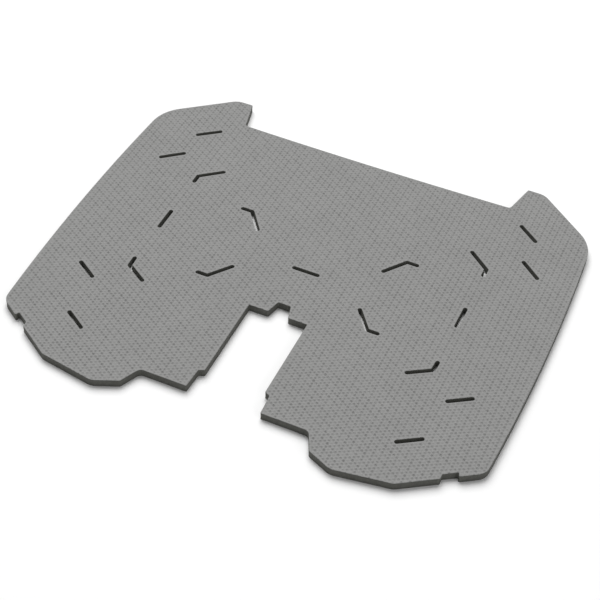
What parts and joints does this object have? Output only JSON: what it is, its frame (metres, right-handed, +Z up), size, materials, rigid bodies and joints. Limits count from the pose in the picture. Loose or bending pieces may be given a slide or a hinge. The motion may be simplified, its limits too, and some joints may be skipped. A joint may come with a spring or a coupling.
{
  "type": "foam back pad",
  "caption": "Flat die-cut sheet of textured grey foam with eared top corners, a deep tail notch and narrow strap slots; pads the back behind a protector's shell.",
  "frame": {"origin": "middle of the outline's box, on the underside", "axes": "+X across the width, +Y towards the ears, +Z up through the textured face"},
  "size_m": [0.36, 0.312, 0.006],
  "materials": {
    "foam": "matte closed-cell foam, finely embossed face, smooth cut edges"
  },
  "bodies": {
    "root": {"foam_sheet": "foam"}
  },
  "joints": []
}
